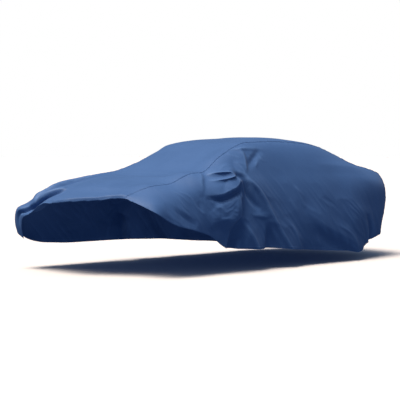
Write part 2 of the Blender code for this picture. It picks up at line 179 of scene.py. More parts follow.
# Heights in these tables are above the floor, and places along the cover grow to its rear. One row
# for each cross-section: the centre line, then the left seam, belt, side and hem.
SECTION_COLUMNS = (
    "top_x top_z crown seam_x seam_y seam_z belt_y belt_z side_y side_z hem_x hem_y hem_z"
)
SECTIONS = (
    (-2.17, 0.790, 0.15, -1.80, 0.640, 0.828, 0.665, 0.815, 0.700, 0.797, -1.77, 0.760, 0.776),
    (-1.93, 0.845, 0.80, -1.70, 0.650, 0.862, 0.790, 0.815, 0.880, 0.760, -1.70, 0.930, 0.698),
    (-1.72, 0.920, 0.80, -1.50, 0.700, 0.930, 0.850, 0.845, 0.950, 0.720, -1.44, 0.990, 0.550),
    (-1.42, 0.977, 0.80, -1.25, 0.720, 0.953, 0.890, 0.860, 0.970, 0.680, -1.16, 1.000, 0.477),
    (-1.12, 1.017, 0.80, -1.02, 0.735, 1.040, 0.905, 0.900, 0.975, 0.660, -0.92, 0.990, 0.405),
    (-0.86, 1.055, 0.80, -0.78, 0.730, 1.068, 0.920, 0.930, 0.970, 0.620, -0.70, 0.972, 0.276),
    (-0.62, 1.158, 0.80, -0.52, 0.675, 1.203, 0.900, 0.975, 0.960, 0.600, -0.50, 0.962, 0.248),
    (-0.34, 1.275, 0.80, -0.25, 0.630, 1.312, 0.865, 0.985, 0.950, 0.600, -0.24, 0.960, 0.236),
    (-0.12, 1.360, 0.80, -0.04, 0.593, 1.366, 0.850, 0.990, 0.945, 0.620, -0.03, 0.955, 0.228),
    (0.20, 1.395, 0.80, 0.20, 0.573, 1.377, 0.840, 0.995, 0.940, 0.640, 0.22, 0.950, 0.218),
    (0.60, 1.428, 0.80, 0.55, 0.560, 1.380, 0.840, 1.000, 0.940, 0.660, 0.62, 0.943, 0.178),
    (1.00, 1.410, 0.80, 0.93, 0.555, 1.360, 0.840, 1.000, 0.940, 0.660, 1.00, 0.940, 0.148),
    (1.32, 1.364, 0.80, 1.22, 0.535, 1.326, 0.830, 0.990, 0.940, 0.650, 1.32, 0.930, 0.122),
    (1.64, 1.266, 0.80, 1.55, 0.540, 1.224, 0.830, 0.975, 0.930, 0.620, 1.57, 0.908, 0.108),
    (1.98, 1.138, 0.80, 1.88, 0.580, 1.098, 0.820, 0.940, 0.880, 0.600, 1.85, 0.845, 0.210),
    (2.22, 1.053, 0.80, 2.12, 0.620, 1.036, 0.780, 0.890, 0.817, 0.580, 2.115, 0.780, 0.275),
    (2.40, 0.990, 0.80, 2.28, 0.620, 0.990, 0.715, 0.860, 0.725, 0.570, 2.275, 0.635, 0.290),
)

# The right side mirrors the left, but for these first sections, where it hangs round the corner.
RIGHT_COLUMNS = (
    "section crown seam_x seam_y seam_z belt_x belt_y belt_z side_x side_y side_z"
    " hem_x hem_y hem_z"
)
RIGHT_SECTIONS = (
    (0, 0.68, -2.06, 0.600, 0.622, -2.02, 0.780, 0.545, -1.99, 0.825, 0.430, -1.952, 0.850, 0.334),
    (1, 0.80, -1.96, 0.680, 0.668, -2.025, 0.860, 0.650, -2.00, 0.935, 0.500, -1.972, 0.930, 0.390),
    (2, 0.80, -1.822, 0.690, 0.846, -1.86, 0.860, 0.680, -1.84, 0.960, 0.550, -1.70, 0.985, 0.290),
    (3, 0.80, -1.38, 0.720, 0.950, -1.38, 0.900, 0.840, -1.36, 0.980, 0.600, -1.30, 0.985, 0.250),
    (4, 0.80, -1.05, 0.730, 1.008, -1.04, 0.910, 0.900, -1.00, 0.980, 0.620, -0.96, 0.980, 0.245),
    (5, 0.80, -0.76, 0.720, 1.050, -0.76, 0.920, 0.925, -0.72, 0.970, 0.620, -0.70, 0.972, 0.245),
    (6, 0.80, -0.50, 0.640, 1.146, -0.49, 0.900, 0.970, -0.49, 0.960, 0.600, -0.49, 0.962, 0.245),
    (7, 0.80, -0.22, 0.610, 1.264, -0.22, 0.865, 0.980, -0.22, 0.950, 0.600, -0.22, 0.960, 0.236),
    (8, 0.80, -0.06, 0.598, 1.334, -0.05, 0.850, 0.990, -0.04, 0.945, 0.620, -0.03, 0.955, 0.228),
)

# The centre line of the rear face, from the boot's edge down to the rear hem.
REAR_COLUMNS = "x z"
REAR = ((2.400, 0.992), (2.452, 0.840), (2.458, 0.600), (2.420, 0.290))

# A fold is a ridge (+) or trough (-) along a path on the cloth, with a flat slope on each side.
# Its columns are how wide it is to the left of the path, how wide to the right, and the path: for
# each point its run (the place along the cover), its girth from the centre line (negative to the
# left) and the fold's rise there.
FOLDS = {
    # Over the left door mirror: two lips, the mirror's long edge, and the groove under it.
    "upper_lip": (0.12, 0.032, (
        (-0.80, -0.790, 0.000), (-0.70, -0.850, 0.056), (-0.58, -0.902, 0.062),
        (-0.49, -0.940, 0.048), (-0.41, -0.958, 0.004),
    )),
    "lower_lip": (0.034, 0.030, (
        (-0.84, -0.880, 0.000), (-0.71, -0.932, 0.034), (-0.60, -0.962, 0.042),
        (-0.50, -0.975, 0.038), (-0.44, -0.965, 0.004),
    )),
    "mirror": (0.20, 0.045, (
        (-0.97, -1.040, 0.000), (-0.90, -1.058, 0.020), (-0.80, -1.071, 0.040),
        (-0.68, -1.069, 0.045), (-0.54, -1.082, 0.045), (-0.45, -1.050, 0.040),
        (-0.41, -1.020, 0.000),
    )),
    "groove": (0.045, 0.045, (
        (-0.95, -1.060, 0.000), (-0.83, -1.100, -0.015), (-0.74, -1.135, -0.028),
        (-0.56, -1.140, -0.030), (-0.42, -1.145, -0.020), (-0.36, -1.150, 0.000),
    )),
    "mirror_front": (0.04, 0.15, (
        (-0.83, -0.740, 0.000), (-0.90, -0.840, 0.020), (-0.95, -0.918, 0.018),
        (-0.97, -1.060, 0.000),
    )),
    "hanging_panel": (0.16, 0.34, (
        (-0.66, -0.980, 0.000), (-0.58, -1.100, 0.030), (-0.56, -1.240, 0.032),
        (-0.58, -1.370, 0.020), (-0.62, -1.500, 0.000),
    )),
    "panel_rear_edge": (0.040, 0.10, (
        (-0.37, -1.110, 0.000), (-0.43, -1.180, 0.022), (-0.48, -1.260, 0.028),
        (-0.50, -1.370, 0.020), (-0.54, -1.430, 0.000),
    )),
    "panel_lower_edge": (0.26, 0.08, (
        (-0.97, -1.400, 0.000), (-0.84, -1.320, 0.030), (-0.73, -1.335, 0.050),
        (-0.61, -1.380, 0.058), (-0.50, -1.400, 0.040), (-0.42, -1.390, 0.000),
    )),
    # Tension from the mirror down to the sill, with a deep facet on its front side.
    "band": (0.08, 0.06, (
        (-0.42, -1.010, 0.000), (-0.36, -1.100, -0.010), (-0.34, -1.180, -0.016),
        (-0.34, -1.260, -0.016), (-0.32, -1.330, -0.010), (-0.28, -1.400, 0.000),
    )),
    "band_line": (0.036, 0.045, (
        (-0.49, -0.930, 0.000), (-0.42, -0.965, -0.030), (-0.345, -1.022, -0.050),
        (-0.31, -1.105, -0.056), (-0.275, -1.208, -0.052), (-0.21, -1.313, -0.034),
        (-0.13, -1.400, 0.000),
    )),
    "long_ridge": (0.22, 0.12, (
        (-0.46, -0.945, 0.000), (-0.37, -1.005, 0.035), (-0.29, -1.066, 0.050),
        (-0.14, -1.203, 0.050), (-0.03, -1.371, 0.035), (0.06, -1.519, 0.032),
        (0.15, -1.651, 0.045), (0.34, -1.870, 0.060),
    )),
    "front_pocket": (0.17, 0.13, (
        (-0.46, -1.405, 0.000), (-0.50, -1.500, -0.060), (-0.54, -1.640, -0.100),
        (-0.56, -1.790, -0.095),
    )),
    "pocket_ridge": (0.12, 0.14, (
        (-0.46, -1.400, 0.000), (-0.35, -1.573, 0.035), (-0.25, -1.729, 0.050),
        (-0.20, -1.830, 0.055),
    )),
    "pocket_foot": (0.06, 0.06, (
        (-0.45, -1.640, 0.000), (-0.46, -1.700, 0.025), (-0.46, -1.790, 0.040),
    )),
    "long_crest": (0.030, 0.022, (
        (-0.34, -1.025, 0.000), (-0.26, -1.090, 0.010), (-0.14, -1.203, 0.014),
        (-0.03, -1.371, 0.014), (0.06, -1.519, 0.014), (0.15, -1.651, 0.012),
        (0.34, -1.870, 0.008),
    )),
    "pocket_crest": (0.026, 0.024, (
        (-0.46, -1.400, 0.000), (-0.35, -1.573, 0.014), (-0.25, -1.729, 0.016),
        (-0.20, -1.830, 0.012),
    )),
    "middle_pocket": (0.18, 0.08, (
        (0.02, -1.540, 0.000), (0.00, -1.660, -0.035), (0.00, -1.870, -0.055),
    )),
    "middle_crease": (0.05, 0.025, (
        (-0.27, -1.420, 0.000), (-0.14, -1.468, 0.012), (0.00, -1.500, 0.000),
    )),
    # Rear quarter.
    "rear_ridge": (0.18, 0.09, (
        (0.60, -1.420, 0.000), (0.91, -1.616, 0.022), (1.20, -1.734, 0.032),
        (1.52, -1.830, 0.040),
    )),
    "rear_trough": (0.09, 0.09, (
        (0.70, -1.660, 0.000), (1.03, -1.764, -0.030), (1.23, -1.810, -0.030),
        (1.52, -1.860, -0.020),
    )),
    "rear_pleat": (0.06, 0.06, (
        (1.72, -1.330, 0.000), (1.75, -1.401, -0.020), (1.83, -1.497, -0.030),
        (1.86, -1.620, -0.030),
    )),
    "boot_shoulder": (0.08, 0.10, (
        (0.90, -0.880, 0.000), (1.41, -0.820, 0.010), (1.98, -0.660, 0.006),
        (2.10, -0.620, 0.000),
    )),
    # At the roof's front corner.
    "pillar_eave": (0.06, 0.035, (
        (-0.30, -0.625, 0.000), (-0.19, -0.690, 0.015), (-0.04, -0.712, 0.012),
        (0.22, -0.710, 0.000),
    )),
    "pillar_front": (0.035, 0.12, (
        (-0.18, -0.680, 0.000), (-0.20, -0.845, 0.020), (-0.30, -0.980, 0.000),
    )),
    "pillar_rear": (0.05, 0.05, (
        (0.14, -0.710, 0.000), (-0.03, -0.834, -0.018), (-0.22, -0.930, 0.000),
    )),
    # Wing and bonnet.
    "wing_crease": (0.05, 0.08, (
        (-1.53, -1.010, 0.000), (-1.37, -1.139, -0.012), (-1.22, -1.245, -0.012),
        (-1.12, -1.300, 0.000),
    )),
    "wing_fold": (0.04, 0.04, (
        (-0.84, -1.150, 0.000), (-0.77, -1.220, 0.008), (-0.70, -1.290, 0.000),
    )),
    "windscreen_foot": (0.12, 0.12, (
        (-0.98, 0.600, 0.000), (-1.00, 0.000, -0.018), (-1.02, -0.620, 0.000),
    )),
    "bonnet_far_ridge": (0.12, 0.040, (
        (-2.02, 0.620, 0.000), (-1.95, 0.640, 0.040), (-1.84, 0.610, 0.010),
        (-1.70, 0.600, 0.022), (-1.48, 0.630, 0.024), (-1.20, 0.610, 0.012),
        (-0.95, 0.600, 0.000),
    )),
    "bonnet_far_trough": (0.040, 0.15, (
        (-1.98, 0.580, 0.000), (-1.86, 0.565, -0.036), (-1.70, 0.555, -0.046),
        (-1.48, 0.580, -0.040), (-1.20, 0.565, -0.020), (-0.98, 0.550, 0.000),
    )),
    "pleat_lip": (0.034, 0.16, (
        (-1.82, 0.262, 0.000), (-1.895, 0.320, 0.044), (-1.985, 0.430, 0.070),
        (-2.01, 0.560, 0.062), (-2.025, 0.700, 0.038), (-2.06, 0.850, 0.012),
        (-2.08, 0.980, 0.000),
    )),
    "pleat_valley": (0.034, 0.032, (
        (-1.87, 0.250, 0.000), (-1.955, 0.330, -0.040), (-2.045, 0.450, -0.055),
        (-2.07, 0.570, -0.055), (-2.085, 0.710, -0.045), (-2.11, 0.850, -0.030),
        (-2.12, 0.980, 0.000),
    )),
}
# The hidden right side has plain folds at the same places, this much as high.
RIGHT_COPIES = (
    "mirror",
    "groove",
    "hanging_panel",
    "long_ridge",
    "pocket_ridge",
    "front_pocket",
    "rear_ridge",
    "rear_pleat",
)
RIGHT_SHARE = 0.8
# Folds whose crests hang over their steep sides: how far they lean, for each metre that they rise.
LEANS = {
    "upper_lip": (0.0, 0.0, -0.36),
    "lower_lip": (0.0, 0.0, -0.38),
    "mirror": (0.0, 0.0, -0.25),
    "pleat_lip": (-0.40, -0.12, -0.10),
}
PATH_STEPS = 4  # legs between two points of a path
FOLD_REACH = 1.3  # how far from its path a fold acts, as a share of its width
NO_DISTANCE = 1e-9  # the least that a distance is divided by
CREST_ROUNDING = 0.05  # of a fold's top, as a share of its width
FOOT_ROUNDING = 0.12  # where its slopes run out
SOFT_PASSES = 1  # of averaging with the neighbours
# The painted highlight on the crests: paler blue where the cloth stands above its surroundings.
HIGHLIGHT_PASSES = 6  # of the same, to find what stands above its surroundings
HIGHLIGHT_HEIGHT = 0.0035  # a crest this much higher gets the full painted highlight

# Short random wrinkles by zone, for the left side and mirrored for the right: how many, where,
# their angle from the cover's length down the side and its spread in degrees, and their usual size.
WRINKLE_SEED = 7
WRINKLE_COLUMNS = "count run0 run1 girth0 girth1 angle spread length width rise"
WRINKLES = (
    (24, -0.25, 0.60, 1.15, 1.75, 52, 7, 0.38, 0.022, 0.0055),  # from the mirror to the sill
    (18, 0.60, 1.75, 1.30, 1.75, 24, 9, 0.36, 0.024, 0.0050),  # rear quarter
    (16, -1.45, -0.85, 0.95, 1.30, 50, 14, 0.24, 0.018, 0.0050),  # wing
    (18, -0.85, -0.45, 0.80, 1.35, 20, 35, 0.16, 0.014, 0.0040),  # round the mirror
    (16, -0.34, 0.16, 0.64, 0.95, 55, 30, 0.19, 0.015, 0.0060),  # under the roof's front corner
    (12, -2.00, -1.00, 0.05, 0.60, 80, 20, 0.25, 0.025, 0.0030),  # bonnet
    (6, -0.80, 1.80, 0.05, 0.55, 85, 20, 0.30, 0.030, 0.0015),  # windscreen, roof and boot
)
# The least and the most of each, as shares of the usual length, width and rise.
WRINKLE_LENGTH, WRINKLE_WIDTH, WRINKLE_RISE = (0.5, 1.3), (0.7, 1.4), (0.4, 1.2)
WRINKLE_BEND = (-0.08, 0.08)  # sideways, as a share of its length
WRINKLE_SIGNS = (-1, 1, 1)  # two ridges for each trough
WRINKLE_OTHER_SIDE = (0.6, 1.6)  # its right slope's width, as a share of the left one's
# Along a wrinkle: the place as a share of its length, and the share of its bend and rise there.
WRINKLE_SHAPE = ((-0.5, 0), (-0.2, 0.8), (0.1, 1), (0.5, 0))
NOISE_CELLS = 97  # before the random values repeat
# One seed for each kind of undulation.
SWELL_SEED, CREASE_SEED, STREAK_SEED, PUCKER_SEED, FINE_PUCKER_SEED, HEM_SEED = range(11, 17)
CALM_ABOVE, LOOSE_BELOW = 0.9, 1.4  # girths between which the cloth turns from taut to loose
CALM_SHARE = 0.35  # of the undulation that is left where it is taut
CREASE_SLANT = 0.3  # how far the creases move along the cover for each metre down it
SWELL_CELL, SWELL_RISE = 0.30, 0.0050
CREASE_CELL, CREASE_RISE = 0.17, 0.0022
STREAK_CELL, STREAK_RISE = 0.055, 0.0022
STREAK_STRETCH = 7.0  # how much longer than wide the streaks are
STREAK_ANGLE = 0.90  # radians, from the cover's length down the side
CORNER_FADE = 0.08  # undulation ends this far from the rear corners' seams
NOT_NEAR = 9.0  # any distance beyond that
PUCKER_CELL, PUCKER_RISE, PUCKER_REACH = 0.040, 0.0030, 0.030
FINE_PUCKER_CELL, FINE_PUCKER_SHARE = PUCKER_CELL / 2.3, 0.5  # of the puckers' rise
HEM_WAVE_CELL, HEM_WAVE, HEM_WAVE_REACH = 0.13, 0.0100, 0.07
# What sewing does to the height of the cloth: distances from the edge, then heights.
LAP_TOP = ((0.0, 0.0015, 0.0085, 0.011, 0.015), (0.0034, 0.0040, 0.0036, 0.0004, 0.0))
LAP_SIDE = ((0.0, 0.0015, 0.004, 0.0085), (0.0034, -0.0024, -0.0030, 0.0))
HEM_BAND = (
    (0.0, 0.002, 0.012, 0.0215, 0.0245, 0.028),
    (0.0006, 0.0018, 0.0020, 0.0004, 0.0018, 0.0),
)
# Along the bonnet's edge the front hem hangs down: how much cloth, how tightly it bends, its angle,
# and the share of that angle by the girth.
DROP, DROP_RADIUS, DROP_ANGLE = 0.045, 0.012, 1.50
DROP_BLEND = 0.3  # of its share, below which the hem eases back to the smooth surface
DROP_SHARE = ((-0.80, -0.68, -0.10, 0.15, 0.45, 0.62), (0.0, 1.0, 1.0, 0.75, 0.15, 0.0))


def named(columns, rows):
    """The table as a dictionary of one array for each named column."""
    return dict(zip(columns.split(), np.array(rows, float).T))


def spline(knots, values, at):
    """A smooth curve through the values at the knots, read at the given places."""
    steps = np.diff(knots)
    slopes = np.diff(values, axis=0) / steps[:, None]
    before, after = steps[:-1, None], steps[1:, None]
    tangents = np.empty_like(values)
    tangents[1:-1] = (slopes[:-1] * after + slopes[1:] * before) / (before + after)
    tangents[0] = 2 * slopes[0] - tangents[1]
    tangents[-1] = 2 * slopes[-1] - tangents[-2]
    span = np.clip(np.searchsorted(knots, at, side="right") - 1, 0, len(steps) - 1)
    step = steps[span][:, None]
    t = (at - knots[span])[:, None] / step
    return (
        (2 * t**3 - 3 * t**2 + 1) * values[span]
        + (t**3 - 2 * t**2 + t) * step * tangents[span]
        + (3 * t**2 - 2 * t**3) * values[span + 1]
        + (t**3 - t**2) * step * tangents[span + 1]
    )


def arc_lengths(points):
    steps = np.linalg.norm(np.diff(points, axis=0), axis=1)
    return np.concatenate([[0], np.cumsum(steps)])


def control_lines():
    """The lengthwise lines that shape the cloth, from the left hem over the top to the right hem.

    On each side of the centre line these are the shoulder, seam, belt, side and hem.
    """
    left = named(SECTION_COLUMNS, SECTIONS)
    right = named(RIGHT_COLUMNS, RIGHT_SECTIONS)
    own_sections = right["section"].astype(int)
    downward = ("seam", "belt", "side", "hem")
    left_lines = []
    right_lines = []
    for name in downward:
        share = (left["seam_z"] - left[name + "_z"]) / (left["seam_z"] - left["hem_z"])
        x = left["seam_x"] + share * (left["hem_x"] - left["seam_x"])
        left_lines.append(np.stack([x, -left[name + "_y"], left[name + "_z"]], axis=1))
        mirrored = np.stack([x, left[name + "_y"], left[name + "_z"]], axis=1)
        mirrored[own_sections] = np.stack([right[name + "_" + axis] for axis in "xyz"], axis=1)
        right_lines.append(mirrored)
    centre = np.stack([left["top_x"], 0 * left["top_x"], left["top_z"]], axis=1)
    crowns = [left["crown"], left["crown"].copy()]
    crowns[1][own_sections] = right["crown"]
    shoulders = []
    for seam, crown in zip((left_lines[0], right_lines[0]), crowns):
        share = np.stack([0 * crown + SHOULDER, 0 * crown + SHOULDER, crown], axis=1)
        shoulders.append(seam + (centre - seam) * share)
    return left_lines[::-1] + [shoulders[0], centre, shoulders[1]] + right_lines


def spaced(start, end, near_start, near_end, even):
    """Places from start to end, at these distances from the two and even in between."""
    first = start + np.array(near_start)
    last = end - np.array(near_end)[::-1]
    between = np.linspace(first[-1], last[0], even + 1)[1:-1]
    return np.concatenate([first, between, last])


def smooth_body():
    """Points, runs and girths of the cross-sections, column by column, left hem to right hem.

    A run is the place along the cover, but ahead of the bonnet's section it is measured on the
    cloth.
    """
    lines = control_lines()
    left_seam_places = arc_lengths(lines[LEFT_SEAM])
    spacing = np.array(SPACING)
    shares = spline(spacing[:, 0], spacing[:, 1:], np.linspace(0, 1, COLUMNS + 1))[:, 0]
    places = shares * left_seam_places[-1]
    lines = [spline(left_seam_places, line, places) for line in lines]
    points = []
    girths = []
    for column in range(COLUMNS + 1):
        control = np.array([line[column] for line in lines])
        length = arc_lengths(control)
        at = np.concatenate(
            [
                spaced(length[0], length[LEFT_SEAM], HEM_ROWS, SEAM_ROWS, SIDE_EVEN),
                spaced(length[LEFT_SEAM], length[CENTRE], SEAM_ROWS, (0.0,), TOP_EVEN // 2)[1:],
                spaced(length[CENTRE], length[RIGHT_SEAM], (0.0,), SEAM_ROWS, TOP_EVEN // 2)[1:],
                spaced(length[RIGHT_SEAM], length[-1], SEAM_ROWS, HEM_ROWS, SIDE_EVEN)[1:],
            ]
        )
        points.append(spline(length, control, at))
        girths.append(at - length[CENTRE])
    points = np.array(points)
    runs = points[:, :, 0].copy()
    bonnet = np.searchsorted(places, left_seam_places[BONNET_SECTION])
    steps = np.linalg.norm(np.diff(points[: bonnet + 1], axis=0), axis=2)
    runs[:bonnet] = runs[bonnet] - np.cumsum(steps[::-1], axis=0)[::-1]
    girths = np.array(girths)
    return hung_front(points, girths), runs, girths


def hung_front(points, girths):
    """The body's cross-sections with the front hem turned down over the bonnet's edge."""
    from_hem = np.linalg.norm(np.diff(points, axis=0), axis=2)
    from_hem = np.concatenate([np.zeros((1, points.shape[1])), np.cumsum(from_hem, axis=0)])
    moved = points.copy()
    for line in range(points.shape[1]):
        share = np.interp(girths[0, line], *DROP_SHARE)
        if share == 0:
            continue
        bend = np.searchsorted(from_hem[:, line], DROP)
        start = points[bend, line]
        ahead = points[0, line] - start
        flat = np.array([ahead[0], ahead[1], 0]) / np.hypot(ahead[0], ahead[1])
        past = from_hem[bend, line] - from_hem[:bend, line]
        angle = DROP_ANGLE * share
        turned = np.minimum(past / DROP_RADIUS, angle)
        straight = past - turned * DROP_RADIUS
        forward = DROP_RADIUS * np.sin(turned) + straight * np.cos(angle)
        down = DROP_RADIUS * (1 - np.cos(turned)) + straight * np.sin(angle)
        hung = start + forward[:, None] * flat - down[:, None] * (0, 0, 1)
        weight = min(1.0, share / DROP_BLEND)
        moved[:bend, line] += weight * (hung - points[:bend, line])
    return moved


def smooth_rear(left_edge, right_edge):
    """Points of the rear face, row by row, strung between the two rear corners and crowned."""
    centre = named(REAR_COLUMNS, REAR)
    line = np.stack([centre["x"], 0 * centre["x"], centre["z"]], axis=1)
    down = arc_lengths(left_edge)
    line = spline(np.linspace(0, 1, len(line)), line, down / down[-1])
    rows = []
    for row in range(1, SIDE_ROWS + 1):
        middle = (left_edge[row] + right_edge[row]) / 2
        half = (right_edge[row] - left_edge[row]) / 2
        near = np.array(SEAM_ROWS) / np.linalg.norm(half)
        across = spaced(-1, 1, near, near, TOP_EVEN)[:, None]
        crown = 1 - np.abs(across) ** REAR_ROUNDING
        rows.append(middle + half * across + (line[row] - middle) * crown)
    return np.array(rows)


def smooth_cover():
    """The unfolded surface: points, their runs and girths, and the panels' grids."""
    body, body_run, girth = smooth_body()
    index = np.arange(body.shape[0] * body.shape[1]).reshape(body.shape[:2])
    seam_left, seam_right = SIDE_ROWS, SIDE_ROWS + TOP_STRIPS
    left_corner = index[-1, : seam_left + 1][::-1]
    right_corner = index[-1, seam_right:]
    points = body.reshape(-1, 3)
    rear = smooth_rear(points[left_corner], points[right_corner])[:, 1:-1]
    rear_index = len(points) + np.arange(rear.shape[0] * rear.shape[1]).reshape(rear.shape[:2])
    rear_index = np.concatenate(
        [left_corner[1:, None], rear_index, right_corner[1:, None]], axis=1
    )
    boot_x, boot_z = REAR[0]
    run = np.concatenate([body_run.ravel(), (boot_x + boot_z - rear[:, :, 2]).ravel()])
    girth = np.concatenate([girth.ravel(), rear[:, :, 1].ravel()])
    panels = {
        "top_panel": np.concatenate([index[:, seam_left : seam_right + 1], rear_index]),
        "left_panel": index[:, seam_left::-1],
        "right_panel": index[:, seam_right:],
    }
    return np.concatenate([points, rear.reshape(-1, 3)]), run, girth, panels


def outward_normals(points, panels):
    total = np.zeros_like(points)
    for name, grid in panels.items():
        a, b, c, d = grid[:-1, :-1], grid[1:, :-1], grid[1:, 1:], grid[:-1, 1:]
        face = np.cross(points[c] - points[a], points[d] - points[b])
        if name == "left_panel":
            face = -face
        for corner in (a, b, c, d):
            np.add.at(total, corner, face)
    return total / np.linalg.norm(total, axis=1)[:, None]


def fold_rise(run, girth, fold):
    """How far one fold lifts each point of the cloth off the smooth surface."""
    left, right, points = fold
    points = np.array(points)
    knots = np.arange(len(points))
    path = spline(knots, points, np.linspace(0, knots[-1], PATH_STEPS * knots[-1] + 1))
    reach = FOLD_REACH * max(left, right)
    near = (run > path[:, 0].min() - reach) & (run < path[:, 0].max() + reach)
    near &= (girth > path[:, 1].min() - reach) & (girth < path[:, 1].max() + reach)
    here = np.stack([run[near], girth[near]], axis=1)
    nearest = np.full(len(here), np.inf)
    height = np.zeros(len(here))
    side = np.zeros(len(here))
    for start, end in zip(path[:-1], path[1:]):
        leg = end[:2] - start[:2]
        length = np.hypot(*leg)
        offset = here - start[:2]
        share = np.clip(offset @ leg / length**2, 0, 1)
        distance = np.hypot(*(offset - share[:, None] * leg).T)
        to_left = (offset[:, 1] * leg[0] - offset[:, 0] * leg[1]) / length
        closer = distance < nearest
        nearest[closer] = distance[closer]
        height[closer] = (start[2] + share * (end[2] - start[2]))[closer]
        side[closer] = (to_left / np.maximum(distance, NO_DISTANCE))[closer]
    width = right + (left - right) * (1 + np.clip(side, -1, 1)) / 2
    level = 1 + CREST_ROUNDING - np.hypot(nearest / width, CREST_ROUNDING)
    rise = np.zeros_like(run)
    rise[near] = height * (level + np.hypot(level, FOOT_ROUNDING)) / 2
    return rise


def mirrored(fold):
    """The same fold on the right side of the cover."""
    left, right, points = fold
    points = [(run, -girth, rise * RIGHT_SHARE) for run, girth, rise in points]
    return right, left, points


def noise(x, y, cell, seed):
    """Smooth random values from -1 to 1 over a plane, with bumps about a cell across."""
    values = np.random.default_rng(seed).uniform(-1, 1, (NOISE_CELLS, NOISE_CELLS))
    column, row = np.floor(x / cell).astype(int), np.floor(y / cell).astype(int)
    u, v = x / cell - column, y / cell - row
    u, v = u * u * (3 - 2 * u), v * v * (3 - 2 * v)
    corners = [
        values[(column + right) % NOISE_CELLS, (row + up) % NOISE_CELLS]
        for right in (0, 1)
        for up in (0, 1)
    ]
    first = corners[0] * (1 - v) + corners[1] * v
    second = corners[2] * (1 - v) + corners[3] * v
    return first * (1 - u) + second * u


def creased(x, y, cell, seed):
    """Random creases: sharp where the smooth noise crosses nought."""
    return 1 - 2 * np.abs(noise(x, y, cell, seed))


def wrinkles():
    """Short random folds in the zones of the table, on both sides of the cover."""
    random = np.random.default_rng(WRINKLE_SEED)
    folds = []
    for row in WRINKLES:
        zone = dict(zip(WRINKLE_COLUMNS.split(), row))
        for side in (-1, 1):
            for _ in range(zone["count"]):
                run = random.uniform(zone["run0"], zone["run1"])
                girth = random.uniform(zone["girth0"], zone["girth1"])
                angle = np.radians(zone["angle"] + zone["spread"] * random.normal())
                length = zone["length"] * random.uniform(*WRINKLE_LENGTH)
                bend = length * random.uniform(*WRINKLE_BEND)
                width = zone["width"] * random.uniform(*WRINKLE_WIDTH)
                rise = zone["rise"] * random.uniform(*WRINKLE_RISE) * random.choice(WRINKLE_SIGNS)
                along = np.array([np.cos(angle), -side * np.sin(angle)])
                across = np.array([-along[1], along[0]])
                middle = np.array([run, -side * girth])
                path = [
                    (*(middle + along * length * share + across * bend * lift), rise * lift)
                    for share, lift in WRINKLE_SHAPE
                ]
                folds.append((width, width * random.uniform(*WRINKLE_OTHER_SIDE), path))
    return folds


def edge_distances(sheet):
    """How far each point of a panel lies from its front, rear, first and last edge."""
    along = np.linalg.norm(np.diff(sheet, axis=0), axis=2)
    along = np.concatenate([np.zeros((1, sheet.shape[1])), np.cumsum(along, axis=0)])
    across = np.linalg.norm(np.diff(sheet, axis=1), axis=2)
    across = np.concatenate([np.zeros((sheet.shape[0], 1)), np.cumsum(across, axis=1)], axis=1)
    return along, along[-1] - along, across, across[:, -1:] - across


def sewn_distances(points, panels):
    """How far each point lies from its panel's seams and hems, and from the rear corners' seams."""
    seam, hem, corner = (np.zeros(len(points)) for _ in range(3))
    for name, grid in panels.items():
        edges = dict(zip(("front", "rear", "first", "last"), edge_distances(points[grid])))
        if name == "top_panel":
            seam[grid] = np.minimum(edges["first"], edges["last"])
            hem[grid] = np.minimum(edges["front"], edges["rear"])
            behind = np.arange(grid.shape[0])[:, None] >= COLUMNS
            corner[grid] = np.where(behind, seam[grid], NOT_NEAR)
        else:
            seam[grid] = np.minimum(edges["first"], edges["rear"])
            hem[grid] = np.minimum(edges["front"], edges["last"])
            corner[grid] = edges["rear"]
    return seam, hem, corner


def fine_rise(points, run, girth, panels):
    """Undulation, creases, puckers along the seams and an uneven hem."""
    seam, hem, corner = sewn_distances(points, panels)
    on_top = np.zeros(len(points), bool)
    on_top[panels["top_panel"]] = True
    low = np.clip((np.abs(girth) - CALM_ABOVE) / (LOOSE_BELOW - CALM_ABOVE), 0, 1)
    calm = CALM_SHARE + (1 - CALM_SHARE) * low
    rise = SWELL_RISE * noise(run, girth, SWELL_CELL, SWELL_SEED) * calm
    slanting = run + CREASE_SLANT * girth
    rise += CREASE_RISE * creased(slanting, girth, CREASE_CELL, CREASE_SEED) * calm
    slant = run * np.cos(STREAK_ANGLE) + np.abs(girth) * np.sin(STREAK_ANGLE)
    level = np.abs(girth) * np.cos(STREAK_ANGLE) - run * np.sin(STREAK_ANGLE)
    rise += STREAK_RISE * creased(slant / STREAK_STRETCH, level, STREAK_CELL, STREAK_SEED) * low
    rise *= np.clip(corner / CORNER_FADE, 0, 1)
    along = points[:, 0] - points[:, 2]
    pucker = noise(along, 0 * along, PUCKER_CELL, PUCKER_SEED)
    fine_pucker = noise(along, 0 * along, FINE_PUCKER_CELL, FINE_PUCKER_SEED)
    pucker += FINE_PUCKER_SHARE * fine_pucker
    rise += PUCKER_RISE * pucker * np.exp(-seam / PUCKER_REACH)
    rise += HEM_WAVE * noise(run, girth, HEM_WAVE_CELL, HEM_SEED) * np.exp(-hem / HEM_WAVE_REACH)
    rise += np.where(on_top, np.interp(seam, *LAP_TOP), np.interp(seam, *LAP_SIDE))
    rise += np.interp(hem, *HEM_BAND)
    return rise


def softened(rise):
    """The heights with each inner point averaged with its neighbours, against ragged crests."""
    for _ in range(SOFT_PASSES):
        rise[1:-1] = (rise[:-2] + 2 * rise[1:-1] + rise[2:]) / 4
        rise[:, 1:-1] = (rise[:, :-2] + 2 * rise[:, 1:-1] + rise[:, 2:]) / 4
    return rise


def painted_crest_highlight(rise, count):
    """How much painted highlight each point gets, from 0 to 1: paler blue painted where a crest
    stands above the heights round it.
    """
    around = rise.copy()
    for _ in range(HIGHLIGHT_PASSES):
        around = softened(around)
    crest_highlight = np.zeros(count)
    crest_highlight[: rise.size] = np.clip((rise - around).ravel() / HIGHLIGHT_HEIGHT, 0, 1)
    return crest_highlight


